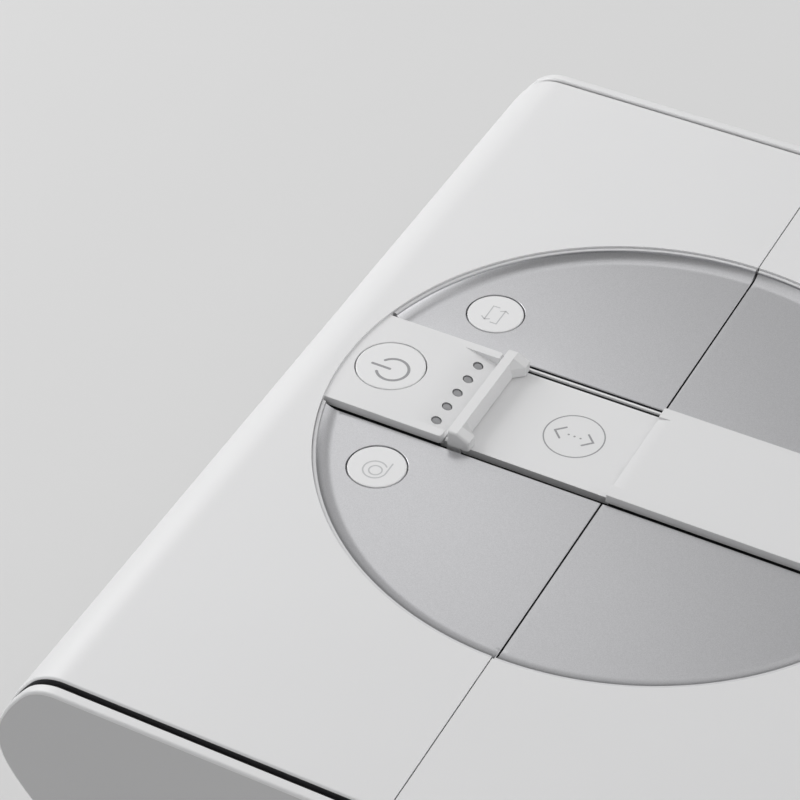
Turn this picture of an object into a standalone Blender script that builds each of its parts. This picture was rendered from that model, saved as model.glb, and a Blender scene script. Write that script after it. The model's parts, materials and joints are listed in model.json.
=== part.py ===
"""Flat two-part sous vide circulator.

Two half housings with rounded outer edges meet at a seam in the middle and
slide apart on two guide rods, so that the slab can bridge pots of different
widths.  A round dish spans the seam on top, and a control bar crosses it:
head, tongue and sliding knob on the left half, sleeve on the right half.
The wet head drops out of the underside of the left half on two posts.

+X runs along the control bar from the head to the sleeve, +Y along the seam,
+Z up.  The origin is under the middle of the slab, on the surface that it
stands on.  Sizes are in millimetres and are scaled to metres when a mesh is
made.
"""

import math

import bmesh
import bpy
from mathutils import Vector

MM = 0.001

# Slab
FOOT_H = 3.0  # rubber foot below the housing
THICK = 54.0  # housing thickness
TOP = FOOT_H + THICK  # top face of the housing
FLAT_X = 92.3  # the top face is flat from the seam to here
# The long edge turns from the flat face to upright in three tangent arcs:
# each is a radius and the slope, in degrees, at which it ends.
EDGE_ARCS = ((14.5, 50.0), (56.0, 65.0), (22.5, 90.0))
HALF_L = 147.3  # middle to the open end of the housing skin
END_EDGE = 0.8  # chamfer round the open end of the skin
WALL = 2.4
SEAM = 0.2  # each half stops this far from the middle plane
GAP = 0.3  # clearance between fitted pieces
CAP_INSET = 0.5  # end caps sit this far inside the skin's outline
CAP_GAP = 1.5  # shadow gap between the skin and an end cap
CAP_OUT = 152.3  # outer face of the end caps
CAP_ROUND = 0.8
SPIGOT_IN = 145.0  # inner end of the cap's spigot

# Dish
DISH_R = 88.1  # inner edge of the lip
LIP_W = 0.9
LIP_R = DISH_R + LIP_W
LIP_TOP = TOP - 0.6  # lip, head and sleeve sit just below the top face
LIP_ROUND = 0.3
FLANGE_R = 93.8  # hidden flange that clamps the dish under the skin
FLOOR = TOP - 2.8
FLOOR_T = 2.0
BLEND_R = 12.5  # radius of the sweep from wall to floor
BLEND_TOP = LIP_TOP - 0.9
SLOT_Y = (-21.6, 21.0)  # slot that holds the control bar
TRAY_WALL = 1.2
TRAY_TOP = TOP - 8.3  # floor of the tray under the bar
TRAY_BOTTOM = TRAY_TOP - TRAY_WALL

# Control bar
BAR_Y = 19.9  # half width of head, knob and sleeve
BAR_TOP = LIP_TOP
BAR_BOTTOM = TRAY_TOP + GAP
COVER_BOTTOM = TOP - 3.4  # head and sleeve are narrower below this height
SKIRT_INSET = 0.7
HEAD_END = -50.2
RAMP_START = -61.2
RAMP_LOW = TOP - 3.2
RAMP_Y = 17.2
TONGUE_Y = 18.3
HEAD_CEILING = TOP - 4.0  # roof of the hollow inside the head
TONGUE_TOP = TOP - 3.3
TONGUE_T = 2.5
TONGUE_BOTTOM = TONGUE_TOP - TONGUE_T
TONGUE_LAP = TONGUE_TOP - 1.3  # top of the tongue where the head covers it
TONGUE_IN = -52.8
TONGUE_END = 75.0
SLEEVE_Y = 18.7  # half width of the sleeve's inside
SLEEVE_CEILING = TONGUE_TOP + 0.4
SLEEVE_RAMP_LOW = TOP - 2.2
SLEEVE_RAMP_END = 4.2
SLEEVE_RAMP_Y = 15.8
RAIL_Y = (19.7, 20.5)

# Sliding knob
KNOB_BACK = -48.6
KNOB_FOOT = -44.4
KNOB_CREST = -45.4
KNOB_TIP = -41.5
KNOB_TOP = TOP + 2.1
KNOB_TIP_TOP = TOP + 0.15
KNOB_FOOT_TOP = TOP - 0.2
KNOB_Y_IN = 13.8  # the cheeks' inner faces flare from here
KNOB_Y_OUT = 16.3  # to here
KNOB_TRAVEL = 38.0

# Buttons and lamps
POWER_X = -76.4
POWER_R = 10.1
MODE_X = -61.2
MODE_Y = 37.0
MODE_R = 8.3
BUTTON_GAP = 0.35
LED_X = -55.0
LED_PITCH = 6.55
LED_COUNT = 5
LED_R = 1.5
STEM_BOTTOM = TOP - 12.0
BOARD_TOP = TOP - 14.9
BOARD_T = 1.6

# Guide rods
ROD_Y = 118.0
ROD_Z = 30.0
ROD_R = 5.0
ROD_X = (-98.0, 94.0)
STOP_X = 90.4
STOP_R = 7.6
BLOCK_Z = (20.0, 40.0)
BLOCK_Y = (103.0, 128.0)
CLAMP_X = ((80.0, 98.0), (6.0, 24.0))
BUSH_R = 8.0
BUSH_X = (8.0, 30.0)
BUSH_BLOCK_X = (7.0, 29.0)

# Chassis
PLATE_X = (1.5, 3.5)  # bulkhead, from the seam
ARM_X = 84.0
ARM_Y = (100.0, 104.0)
PLATE_Y = 144.0
CHASSIS_Z = (FOOT_H + WALL + GAP, TOP - 5.5)
SCREW_X = 45.0
SCREW_Y = 102.0
FOOT_X = 70.0
FOOT_Y = 128.0

# Wet head
WET_X = -46.0
WET_R = 34.0
WET_WALL = 2.0
WET_BOTTOM = 3.6
WET_TOP = 37.0
POST_Y = 44.0
POST_R = 2.5
IMPELLER_R = 15.0
PUMP_PLATE_Z = (17.0, 19.0)

# Mains inlet, in the far end cap of the left half
POWER_BOARD_Z = 9.4
INLET_X = -60.0
INLET_Z = 30.0
INLET_W = 24.0
INLET_H = 18.0
PIN_X = 4.3
PIN_R = 1.2

COLOURS = {
    "white_plastic": ((0.80, 0.80, 0.81), 0.45, 0.0),
    "grey_paint": ((0.46, 0.46, 0.48), 0.42, 0.0),
    "button_white": ((0.82, 0.82, 0.82), 0.40, 0.0),
    "lamp_lens": ((0.35, 0.35, 0.36), 0.35, 0.0),
    "steel": ((0.60, 0.60, 0.62), 0.25, 1.0),
    "dark_plastic": ((0.04, 0.04, 0.045), 0.50, 0.0),
    "rubber": ((0.03, 0.03, 0.03), 0.85, 0.0),
    "circuit_board": ((0.02, 0.14, 0.06), 0.50, 0.0),
    "brass": ((0.70, 0.50, 0.22), 0.35, 1.0),
    "component": ((0.10, 0.10, 0.11), 0.45, 0.0),
}


# ---------------------------------------------------------------- helpers


def material(slot):
    """Principled material of one colour, made once for each slot."""
    found = bpy.data.materials.get(slot)
    if found:
        return found
    colour, roughness, metallic = COLOURS[slot]
    made = bpy.data.materials.new(slot)
    made.use_nodes = True
    shader = made.node_tree.nodes["Principled BSDF"]
    shader.inputs["Base Color"].default_value = (*colour, 1.0)
    shader.inputs["Roughness"].default_value = roughness
    shader.inputs["Metallic"].default_value = metallic
    return made


def add(name, bm, slot=None, origin=(0.0, 0.0, 0.0)):
    """Turns a bmesh in millimetres into an object whose origin is at origin."""
    bmesh.ops.recalc_face_normals(bm, faces=bm.faces)
    for vert in bm.verts:
        vert.co = (vert.co - Vector(origin)) * MM
    mesh = bpy.data.meshes.new(name)
    bm.to_mesh(mesh)
    bm.free()
    mesh.shade_smooth()
    mesh.set_sharp_from_angle(angle=math.radians(30))
    if slot:
        mesh.materials.append(material(slot))
    made = bpy.data.objects.new(name, mesh)
    made.location = Vector(origin) * MM
    bpy.context.scene.collection.objects.link(made)
    return made


def cutter(name, bm):
    """An object that only cuts or joins others, and isn't part of the model."""
    made = add(name, bm)
    made.hide_render = True
    made.display_type = "WIRE"
    return made


def boolean(target, tool, operation="DIFFERENCE"):
    """Cuts target with tool, or joins tool to it."""
    step = target.modifiers.new(tool.name, "BOOLEAN")
    step.operation = operation
    step.object = tool


def loft(bm, rings):
    """Closed solid through rings of equal length, each a list of 3-D points."""
    rows = [[bm.verts.new(point) for point in ring] for ring in rings]
    count = len(rows[0])
    for low, high in zip(rows, rows[1:]):
        for i in range(count):
            j = (i + 1) % count
            bm.faces.new((low[i], low[j], high[j], high[i]))
    bm.faces.new(rows[0][::-1])
    bm.faces.new(rows[-1])
    return bm


def prism(outline, axis, low, high, bm=None):
    """Extrudes an outline along an axis.  Its two values are the other axes."""
    bm = bm or bmesh.new()
    place = {
        "x": lambda a, b, c: (c, a, b),
        "y": lambda a, b, c: (a, c, b),
        "z": lambda a, b, c: (a, b, c),
    }[axis]
    return loft(bm, [[place(a, b, c) for a, b in outline] for c in (low, high)])


def box(x, y, z, bm=None):
    """A box from three (low, high) pairs."""
    outline = [(x[0], y[0]), (x[1], y[0]), (x[1], y[1]), (x[0], y[1])]
    return prism(outline, "z", z[0], z[1], bm)


def circle(cx, cy, radius, count=24):
    """Points round a circle."""
    steps = [2 * math.pi * i / count for i in range(count)]
    return [(cx + radius * math.cos(t), cy + radius * math.sin(t)) for t in steps]


def arc(cx, cy, radius, start, end, count):
    """Points along an arc, in degrees, both ends included."""
    steps = [math.radians(start + (end - start) * i / count) for i in range(count + 1)]
    return [(cx + radius * math.cos(t), cy + radius * math.sin(t)) for t in steps]


def disc(cx, cy, radius, low, high, count=24, bm=None):
    """An upright cylinder."""
    return prism(circle(cx, cy, radius, count), "z", low, high, bm)


def rod(cy, cz, radius, low, high, count=24, bm=None):
    """A cylinder along X."""
    return prism(circle(cy, cz, radius, count), "x", low, high, bm)


def turned(profile, cx, cy, start=0.0, sweep=360.0, count=48, bm=None):
    """Turns a closed (radius, z) profile about an upright axis."""
    bm = bm or bmesh.new()
    whole = sweep == 360.0
    steps = count if whole else count + 1
    axis_verts = {}
    rows = []
    for k in range(steps):
        turn = math.radians(start + sweep * k / count)
        row = []
        for i, (radius, z) in enumerate(profile):
            if radius == 0.0:
                if i not in axis_verts:
                    axis_verts[i] = bm.verts.new((cx, cy, z))
                row.append(axis_verts[i])
            else:
                x = cx + radius * math.cos(turn)
                y = cy + radius * math.sin(turn)
                row.append(bm.verts.new((x, y, z)))
        rows.append(row)
    pairs = list(zip(rows, rows[1:]))
    if whole:
        pairs.append((rows[-1], rows[0]))
    for low, high in pairs:
        for i in range(len(profile)):
            j = (i + 1) % len(profile)
            corners = []
            for vert in (low[i], low[j], high[j], high[i]):
                if vert not in corners:
                    corners.append(vert)
            if len(corners) > 2:
                bm.faces.new(corners)
    if not whole:
        bm.faces.new(rows[0][::-1])
        bm.faces.new(rows[-1])
    return bm


def tube(cx, cy, inner, outer, low, high, count=32, bm=None):
    """An upright ring with a round hole."""
    profile = [(inner, low), (outer, low), (outer, high), (inner, high)]
    return turned(profile, cx, cy, count=count, bm=bm)


def bevel(target, width, segments=2):
    """Rounds a piece's sharp edges."""
    step = target.modifiers.new("round", "BEVEL")
    step.width = width * MM
    step.segments = segments
    step.limit_method = "ANGLE"
    step.angle_limit = math.radians(50)


def edge_curve(inset):
    """The long edge (x, z) from the top face to the bottom, set in by inset."""
    x, z = FLAT_X, TOP
    slope = 0.0
    upper = []
    for radius, end in EDGE_ARCS:
        turn = math.radians(slope)
        x -= radius * math.sin(turn)
        z -= radius * math.cos(turn)
        upper += arc(x, z, radius - inset, 90 - slope, 90 - end, 4)
        turn = math.radians(end)
        x += radius * math.sin(turn)
        z += radius * math.cos(turn)
        slope = end
    kept = [p for p, q in zip(upper, upper[1:]) if math.dist(p, q) > 0.01]
    middle = FOOT_H + THICK / 2
    return kept + [upper[-1]] + [(a, 2 * middle - b) for a, b in kept[::-1]]


def slab_section(side, inset, seam):
    """Half of the slab's cross-section (x, z): flat faces and a round edge."""
    points = [(seam, TOP - inset)] + edge_curve(inset) + [(seam, FOOT_H + inset)]
    return [(side * x, z) for x, z in points]


# ---------------------------------------------------------------- housings


def skin(side, name):
    """Wrap-around skin: top face and rounded edge, open at seam, ends and base."""
    inner = edge_curve(WALL)[::-1] + [(SEAM, TOP - WALL)]
    rings = []
    for end in (-1, 1):
        for back in (0.0, END_EDGE)[::-end]:
            inset = END_EDGE - back
            outer = [(SEAM, TOP - inset)] + edge_curve(inset)
            y = end * (HALF_L - back)
            rings.append([(side * x, y, z) for x, z in outer + inner])
    shell = add(name, loft(bmesh.new(), rings), "white_plastic")
    hole = disc(side * SEAM, 0, LIP_R + GAP, TOP - WALL - 2, TOP + 2, 80)
    boolean(shell, cutter(name + "_dish_hole", hole))


def screw_holes(side, name, radius, low, high):
    """Two upright holes where the base is screwed to the chassis."""
    bm = bmesh.new()
    for y in (-SCREW_Y, SCREW_Y):
        disc(side * SCREW_X, y, radius, low, high, 12, bm)
    return cutter(name, bm)


def base(side, name):
    """Flat bottom plate between the rounded edge and the seam."""
    xs = sorted((side * SEAM, side * (FLAT_X - GAP)))
    ys = (-HALF_L + GAP, HALF_L - GAP)
    plate = add(name, box(xs, ys, (FOOT_H, FOOT_H + WALL)), "white_plastic")
    boolean(plate, screw_holes(side, name + "_screw_holes", 1.6, 0, 20))
    head = screw_holes(side, name + "_counterbores", 3.4, 0, FOOT_H + 1.3)
    boolean(plate, head)
    if side < 0:
        mouth = disc(WET_X, 0, WET_R + 0.6, 0, 20, 48)
        boolean(plate, cutter("wet_head_mouth", mouth))
        bosses = bmesh.new()
        for x in (-78, -12):
            for y in (57, 92):
                disc(x, y, 3.0, FOOT_H + 1, POWER_BOARD_Z - GAP, 12, bosses)
        boolean(plate, cutter("board_bosses", bosses), "UNION")


def base_screw(side, end, name):
    """Countersunk screw that holds the base to the chassis."""
    profile = [
        (0.0, FOOT_H + 0.2),
        (3.0, FOOT_H + 0.2),
        (3.0, FOOT_H + 0.5),
        (1.2, FOOT_H + 1.0),
        (1.2, 13.0),
        (0.0, 13.6),
    ]
    screw = turned(profile, side * SCREW_X, end * SCREW_Y, count=12)
    add(name, screw, "steel")


def foot(side, end, name):
    """Rubber foot."""
    profile = [
        (0.0, 0.0),
        (6.0, 0.0),
        (7.0, 0.8),
        (7.0, FOOT_H - GAP),
        (0.0, FOOT_H - GAP),
    ]
    add(name, turned(profile, side * FOOT_X, end * FOOT_Y, count=20), "rubber")


def end_cap(side, end, name):
    """End cap: a plate behind a shadow gap, with a spigot inside the skin."""
    plate = slab_section(side, CAP_INSET, SEAM)
    spigot = slab_section(side, WALL + GAP, SEAM + 1.0)
    ys = sorted((end * (HALF_L + CAP_GAP), end * CAP_OUT))
    cap = add(name, prism(plate, "y", *ys), "white_plastic")
    bevel(cap, CAP_ROUND)
    ys = sorted((end * SPIGOT_IN, end * (HALF_L + CAP_GAP + 1.0)))
    boolean(cap, cutter(name + "_spigot", prism(spigot, "y", *ys)), "UNION")
    if side < 0 < end:
        xs = (INLET_X - INLET_W / 2 - GAP, INLET_X + INLET_W / 2 + GAP)
        zs = (INLET_Z - INLET_H / 2 - GAP, INLET_Z + INLET_H / 2 + GAP)
        boolean(cap, cutter("inlet_window", box(xs, (140, 160), zs)))


def chassis(side, name):
    """Bulkhead beside the seam with two arms, which carries the other pieces."""
    near, far = PLATE_X
    low, high = ARM_Y
    outline = [
        (near, -PLATE_Y),
        (far, -PLATE_Y),
        (far, -high),
        (ARM_X, -high),
        (ARM_X, -low),
        (far, -low),
        (far, low),
        (ARM_X, low),
        (ARM_X, high),
        (far, high),
        (far, PLATE_Y),
        (near, PLATE_Y),
    ]
    outline = [(side * x, y) for x, y in outline]
    frame = add(name, prism(outline, "z", *CHASSIS_Z), "dark_plastic")
    blocks = bmesh.new()
    bores = bmesh.new()
    spans = CLAMP_X if side < 0 else (BUSH_BLOCK_X,)
    bore = ROD_R if side < 0 else BUSH_R
    for end in (-1, 1):
        for span in spans:
            xs = sorted(side * x for x in span)
            box(xs, sorted(end * y for y in BLOCK_Y), BLOCK_Z, blocks)
        xs = sorted((side * (near + 2.5), side * 110))
        rod(end * ROD_Y, ROD_Z, bore + GAP, *xs, bm=bores)
    boolean(frame, cutter(name + "_blocks", blocks), "UNION")
    boolean(frame, cutter(name + "_bores", bores))
    boolean(frame, screw_holes(side, name + "_screw_holes", 1.5, 0, 16))
    holes = bmesh.new()
    for y in (-ROD_Y, ROD_Y):
        rod(y, ROD_Z, ROD_R + 0.6, -5, 5, bm=holes)
    boolean(frame, cutter(name + "_rod_holes", holes))
    low, high = SLOT_Y
    notch = (low - TRAY_WALL - GAP, high + TRAY_WALL + GAP)
    gate = box((-10, 10), notch, (TRAY_BOTTOM - GAP, TOP))
    boolean(frame, cutter(name + "_bar_gate", gate))


# ---------------------------------------------------------------- dish


def dish_profile():
    """Half-section of the dish: floor, sweep, lip, wall and clamping flange."""
    drop = BLEND_TOP - FLOOR
    reach = math.sqrt(BLEND_R**2 - (BLEND_R - drop) ** 2)
    angle = math.degrees(math.asin(reach / BLEND_R))
    sweep = arc(DISH_R - reach, FLOOR + BLEND_R, BLEND_R, -90, -90 + angle, 6)
    under = TOP - WALL - GAP
    return (
        [(0.0, FLOOR)]
        + sweep
        + [
            (DISH_R, LIP_TOP - LIP_ROUND),
            (DISH_R + LIP_ROUND, LIP_TOP),
            (LIP_R - LIP_ROUND, LIP_TOP),
            (LIP_R, LIP_TOP - LIP_ROUND),
            (LIP_R, under),
            (FLANGE_R, under),
            (FLANGE_R, FLOOR - FLOOR_T),
            (0.0, FLOOR - FLOOR_T),
        ]
    )


def dish(side, name):
    """Half of the round dish, with the tray that the control bar lies in."""
    start = 90.0 if side < 0 else -90.0
    half = add(
        name, turned(dish_profile(), side * SEAM, 0, start, 180.0, 40), "grey_paint"
    )
    wide = (SLOT_Y[0] - TRAY_WALL, SLOT_Y[1] + TRAY_WALL)
    xs = sorted((side * SEAM, side * (FLANGE_R - 1.0)))
    tray = box(xs, wide, (TRAY_BOTTOM, FLOOR - 1.0))
    boolean(half, cutter(name + "_tray", tray), "UNION")
    xs = sorted((-side * 1.0, side * (LIP_R + 0.5)))
    slot = box(xs, SLOT_Y, (TRAY_TOP, TOP + 2))
    boolean(half, cutter(name + "_slot", slot))
    if side < 0:
        holes = disc(POWER_X, 0, 5.0, TRAY_BOTTOM - 1, TRAY_TOP + 1)
        for y in (-MODE_Y, MODE_Y):
            disc(MODE_X, y, MODE_R + BUTTON_GAP, FLOOR - 4, TOP, 40, holes)
        lever = (KNOB_BACK - 0.4, KNOB_FOOT + KNOB_TRAVEL + 0.4)
        box(lever, (-1.6, 1.6), (TRAY_BOTTOM - 1, TRAY_TOP + 1), holes)
        pipes = (LED_X - 2.0, LED_X + 2.0)
        box(pipes, (-15.5, 15.5), (TRAY_BOTTOM - 1, TRAY_TOP + 1), holes)
        boolean(half, cutter("button_holes", holes))


# ---------------------------------------------------------------- control bar


def bar_strip(side, near):
    """Head or sleeve as a solid: its outer end follows the lip, and it narrows
    to a skirt below the cover."""
    levels = (
        (BAR_BOTTOM, SKIRT_INSET),
        (COVER_BOTTOM, SKIRT_INSET),
        (COVER_BOTTOM, 0.0),
        (BAR_TOP, 0.0),
    )
    rings = []
    for z, inset in levels:
        half = BAR_Y - inset
        radius = LIP_R - inset
        angle = math.degrees(math.asin(half / radius))
        curve = arc(SEAM, 0, radius, angle, -angle, 8)
        plan = [(near + inset, half), *curve, (near + inset, -half)]
        rings.append([(side * x, y, z) for x, y in plan])
    return loft(bmesh.new(), rings)


def control_head():
    """Fixed end of the bar: power button, and a ramp with the lamps."""
    head = add("control_head", bar_strip(-1, -HEAD_END), "white_plastic")
    slope = (BAR_TOP - RAMP_LOW) / (HEAD_END - RAMP_START)
    past = HEAD_END + 1.0
    wedge = [
        (RAMP_START, BAR_TOP),
        (past, BAR_TOP - slope * (past - RAMP_START)),
        (past, BAR_TOP + 3),
        (RAMP_START, BAR_TOP + 3),
    ]
    boolean(head, cutter("head_ramp", prism(wedge, "y", -RAMP_Y, RAMP_Y)))
    pocket = box((-87.6, -53.0), (-18.3, 18.3), (BAR_BOTTOM - 1, HEAD_CEILING))
    boolean(head, cutter("head_pocket", pocket))
    zs = (BAR_BOTTOM - 2, TONGUE_LAP + GAP)
    pocket = box((TONGUE_IN - 1.2, HEAD_END + 1), (-18.6, 18.6), zs)
    boolean(head, cutter("head_mouth", pocket))
    zs = (HEAD_CEILING - 1, BAR_TOP + 1)
    holes = disc(POWER_X, 0, POWER_R + BUTTON_GAP, *zs, 48)
    for y in led_places():
        disc(LED_X, y, LED_R + 0.1, *zs, 16, holes)
    boolean(head, cutter("head_holes", holes))


def led_places():
    """Y of each lamp, from the near side to the far side."""
    return [LED_PITCH * (i - (LED_COUNT - 1) / 2) for i in range(LED_COUNT)]


def lamps():
    """Five light pipes that rise from the control board to the ramp."""
    slope = (BAR_TOP - RAMP_LOW) / (HEAD_END - RAMP_START)
    for number, y in enumerate(led_places(), 1):
        low = BAR_TOP - slope * (LED_X - RAMP_START) - 0.15
        ring = circle(LED_X, y, LED_R - 0.2, 16)
        foot_ring = [(a, b, BOARD_TOP + GAP) for a, b in ring]
        top_ring = [(a, b, low - slope * (a - LED_X)) for a, b in ring]
        add(f"lamp_lens_{number}", loft(bmesh.new(), [foot_ring, top_ring]), "lamp_lens")


def tongue():
    """Strip fixed to the left half, which runs on under the sleeve."""
    outline = [
        (TONGUE_IN, TONGUE_BOTTOM),
        (TONGUE_END, TONGUE_BOTTOM),
        (TONGUE_END, TONGUE_TOP),
        (HEAD_END + GAP, TONGUE_TOP),
        (HEAD_END + GAP, TONGUE_LAP),
        (TONGUE_IN, TONGUE_LAP),
    ]
    strip = add("tongue", prism(outline, "y", -TONGUE_Y, TONGUE_Y), "white_plastic")
    blocks = box((-52.6, -50.4), (-15, 15), (BAR_BOTTOM, TONGUE_BOTTOM + 0.5))
    box((-6.0, -0.8), (-15, 15), (BAR_BOTTOM, TONGUE_BOTTOM + 0.5), blocks)
    boolean(strip, cutter("tongue_blocks", blocks), "UNION")
    rail = box((-49.8, -0.6), RAIL_Y, (BAR_BOTTOM, TONGUE_TOP))
    add("guide_rail", rail, "white_plastic")


def sleeve():
    """Hollow right end of the bar, which swallows the tongue."""
    cover = add("sleeve", bar_strip(1, SEAM + 0.1), "white_plastic")
    zs = (BAR_BOTTOM - 1, SLEEVE_CEILING)
    hollow = box((-2, 84), (-SLEEVE_Y, SLEEVE_Y), zs)
    boolean(cover, cutter("sleeve_hollow", hollow))
    wedge = [
        (-2.0, SLEEVE_RAMP_LOW),
        (SEAM + 0.1, SLEEVE_RAMP_LOW),
        (SLEEVE_RAMP_END, BAR_TOP),
        (SLEEVE_RAMP_END + 1, BAR_TOP + 2),
        (-2.0, BAR_TOP + 2),
    ]
    ramp = prism(wedge, "y", -SLEEVE_RAMP_Y, SLEEVE_RAMP_Y)
    boolean(cover, cutter("sleeve_ramp", ramp))


def knob_section(y, foot, low_x, low_z):
    """Cross-section of the knob at one place along it."""
    under = TONGUE_TOP + GAP
    return [
        (KNOB_BACK, y, under),
        (foot, y, under),
        (low_x, y, low_z),
        (KNOB_CREST, y, KNOB_TOP),
        (KNOB_BACK + 0.3, y, KNOB_TOP),
    ]


def knob():
    """Sliding knob with a cheek at each end, and the clip under the tongue."""
    origin = (KNOB_BACK, 0, TONGUE_TOP)
    middle = (KNOB_FOOT, KNOB_FOOT - 0.5, KNOB_FOOT_TOP)
    cheek = (KNOB_TIP, KNOB_TIP, KNOB_TIP_TOP)
    stations = [
        (-BAR_Y, cheek),
        (-KNOB_Y_OUT, cheek),
        (-KNOB_Y_IN, middle),
        (KNOB_Y_IN, middle),
        (KNOB_Y_OUT, cheek),
        (BAR_Y, cheek),
    ]
    rings = [knob_section(y, *shape) for y, shape in stations]
    body = add("slider_knob", loft(bmesh.new(), rings), "white_plastic", origin)
    tabs = bmesh.new()
    inside = TONGUE_Y + 0.35
    for low, high in ((-inside - 0.75, -inside), (inside, inside + 0.75)):
        zs = (TONGUE_BOTTOM - 1.8, TONGUE_TOP + 1.0)
        box((KNOB_BACK + 0.1, KNOB_FOOT - 0.1), (low, high), zs, tabs)
    boolean(body, cutter("knob_tabs", tabs), "UNION")
    under = TONGUE_BOTTOM - GAP - 0.1
    bottom = BAR_BOTTOM + 0.1
    outline = [
        (-18.3, bottom),
        (-1.0, bottom),
        (-1.0, TRAY_BOTTOM - 2.4),
        (1.0, TRAY_BOTTOM - 2.4),
        (1.0, bottom),
        (18.3, bottom),
        (18.3, under),
        (-18.3, under),
    ]
    clip = prism(outline, "x", KNOB_BACK + 0.1, KNOB_FOOT - 0.1)
    add("slider_clip", clip, "dark_plastic", origin)


def fader():
    """Linear slide resistor under the tray, driven by the clip's lever."""
    ends = (-52.0, -4.2)
    can = add(
        "slide_resistor",
        box(ends, (-6, 6), (TRAY_BOTTOM - 7.4, TRAY_BOTTOM - GAP)),
        "steel",
    )
    lever = (KNOB_BACK - 0.4, KNOB_FOOT + KNOB_TRAVEL + 0.4)
    slot = box(lever, (-1.6, 1.6), (TRAY_BOTTOM - 3.4, TRAY_BOTTOM + 1))
    boolean(can, cutter("slide_resistor_slot", slot))


def button(name, x, y, radius, top, ceiling):
    """Round cap with a retaining flange and a stem that meets its switch."""
    profile = [
        (0.0, STEM_BOTTOM),
        (3.0, STEM_BOTTOM),
        (3.0, ceiling - GAP - 1.0),
        (radius + 0.8, ceiling - GAP - 1.0),
        (radius + 0.8, ceiling - GAP),
        (radius, ceiling - GAP),
        (radius, top - 0.25),
        (radius - 0.25, top),
        (0.0, top),
    ]
    bm = turned(profile, x, y, count=32)
    add(name, bm, "button_white", (x, y, top))


def switch(name, x, y):
    """Push switch on the control board under a button's stem."""
    low, high = BOARD_TOP + GAP, STEM_BOTTOM - 1.2
    profile = [(0.0, low), (3.0, low), (3.0, high - 0.4), (1.6, high - 0.4)]
    profile += [(1.6, high), (0.0, high)]
    add(name, turned(profile, x, y, count=16), "component")


def buttons():
    """Power button in the head, two mode buttons in the dish, their board."""
    button("power_button", POWER_X, 0.0, POWER_R, BAR_TOP, HEAD_CEILING)
    switch("power_switch", POWER_X, 0.0)
    for place, y in (("front", -MODE_Y), ("rear", MODE_Y)):
        under = FLOOR - FLOOR_T
        button(f"{place}_mode_button", MODE_X, y, MODE_R, FLOOR, under)
        switch(f"{place}_mode_switch", MODE_X, y)
    board = box((-86.0, -53.2), (-50.0, 50.0), (BOARD_TOP - BOARD_T, BOARD_TOP))
    add("control_board", board, "circuit_board")


# ---------------------------------------------------------------- guide rods


def slide_works():
    """Rods fixed in the left half, and the bushes of the right half."""
    start, end = ROD_X
    shaft = [(0.0, start), (ROD_R, start), (ROD_R, STOP_X), (STOP_R, STOP_X)]
    shaft += [(STOP_R, end), (0.0, end)]
    low, high = BUSH_X
    sleeve_ring = [(ROD_R + GAP, low), (BUSH_R, low), (BUSH_R, high)]
    sleeve_ring += [(ROD_R + GAP, high)]
    for name, y in (("near", -ROD_Y), ("far", ROD_Y)):
        add(f"{name}_guide_rod", laid(shaft, y), "steel")
        add(f"{name}_rod_bush", laid(sleeve_ring, y), "brass")


def laid(profile, y):
    """A turned piece whose axis lies along X at the rods' height."""
    bm = turned(profile, 0, 0, count=24)
    for vert in bm.verts:
        a, b, along = vert.co
        vert.co = (along, y + a, ROD_Z + b)
    return bm


# ---------------------------------------------------------------- wet head


def wet_housing():
    """Cup that opens downwards, with two lugs that run on the posts."""
    origin = (WET_X, 0, WET_BOTTOM)
    inner = WET_R - WET_WALL
    lid = WET_TOP + 2.6
    profile = [
        (0.0, WET_TOP),
        (inner, WET_TOP),
        (inner, WET_BOTTOM),
        (WET_R, WET_BOTTOM),
        (WET_R, lid),
        (0.0, lid),
    ]
    cup = add("wet_head_housing", turned(profile, WET_X, 0), "white_plastic", origin)
    lugs = bmesh.new()
    bores = bmesh.new()
    for end in (-1, 1):
        ys = sorted((end * (WET_R - 2), end * (POST_Y + 6)))
        box((WET_X - 6, WET_X + 6), ys, (WET_TOP + GAP, lid), lugs)
        disc(WET_X, end * POST_Y, POST_R + 0.4, WET_TOP - 5, lid + 5, 20, bores)
    boolean(cup, cutter("housing_lugs", lugs), "UNION")
    boolean(cup, cutter("lug_bores", bores))
    port = prism(circle(WET_X, 11.5, 4.2, 16), "y", inner - 4, WET_R + 4)
    boolean(cup, cutter("outlet_port", port))
    for name, y in (("near", -POST_Y), ("far", POST_Y)):
        zs = (FOOT_H + WALL + GAP, FLOOR - FLOOR_T - GAP)
        add(f"{name}_guide_post", disc(WET_X, y, POST_R, *zs, 20), "steel")
    seal = tube(WET_X, 0, WET_R + 0.35, WET_R + 4.5, FOOT_H + WALL + GAP, 7.8, 48)
    add("mouth_seal", seal, "rubber")


def intake_grille():
    """Strainer disc with parallel slots, at the bottom of the wet head."""
    radius = WET_R - WET_WALL - GAP
    low, high = WET_BOTTOM + 0.2, WET_BOTTOM + 2.2
    plate = disc(WET_X, 0, radius, low, high, 48)
    plate = add("intake_grille", plate, "dark_plastic", (WET_X, 0, WET_BOTTOM))
    slots = bmesh.new()
    for i in range(-3, 4):
        x = WET_X + 7.0 * i
        reach = math.sqrt((radius - 4) ** 2 - (7.0 * i) ** 2)
        box((x - 1.2, x + 1.2), (-reach, reach), (low - 1, high + 1), slots)
    boolean(plate, cutter("grille_slots", slots))


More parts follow.
